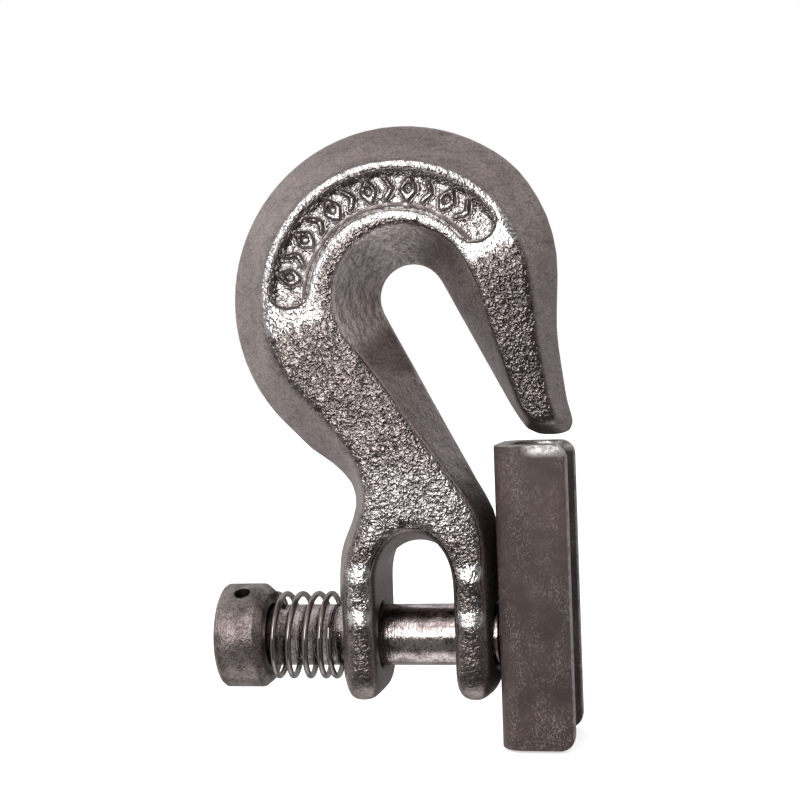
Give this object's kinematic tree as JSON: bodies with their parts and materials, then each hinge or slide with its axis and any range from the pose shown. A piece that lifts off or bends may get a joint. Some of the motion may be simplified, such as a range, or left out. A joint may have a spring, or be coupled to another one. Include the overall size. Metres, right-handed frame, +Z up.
{
  "type": "safety chain hook",
  "caption": "Forged clevis grab hook for a trailer safety chain, with a spring-loaded load pin and a folded steel twist latch across its mouth",
  "frame": {"origin": "on the load pin's axis, midway through the hook's depth and close to the middle of the clevis gap", "axes": "+X along the load pin, from the collar to the latch; +Z up to the bow of the hook; +Y through the hook's depth, away from the viewer"},
  "size_m": [0.0656, 0.0208, 0.1111],
  "materials": {
    "forged_steel": "dark forged skin, oiled",
    "turned_steel": "smooth turned",
    "collar_steel": "blasted, matte",
    "spring_pin_steel": "dark hardened",
    "spring_wire": "bright drawn wire",
    "mill_scale_sheet": "dark mill scale, sheared edges",
    "washer_steel": "plain"
  },
  "bodies": {
    "hook": {"hook_body": "forged_steel", "spring": "spring_wire"},
    "pin": {"load_pin": "turned_steel", "collar": "collar_steel", "roll_pin": "spring_pin_steel"},
    "latch": {"latch_channel": "mill_scale_sheet", "latch_washer": "washer_steel"}
  },
  "joints": [
    {"name": "pin_slide", "type": "slide", "parent": "hook", "child": "pin", "axis": [1, 0, 0], "range_m": [0, 0.005], "stiffness_N_per_m": 1500, "springref_m": -0.009, "deforming": ["spring"]},
    {"name": "latch_twist", "type": "hinge", "parent": "pin", "child": "latch", "pos_m": [0, 0, 0], "axis": [1, 0, 0], "continuous": true}
  ]
}
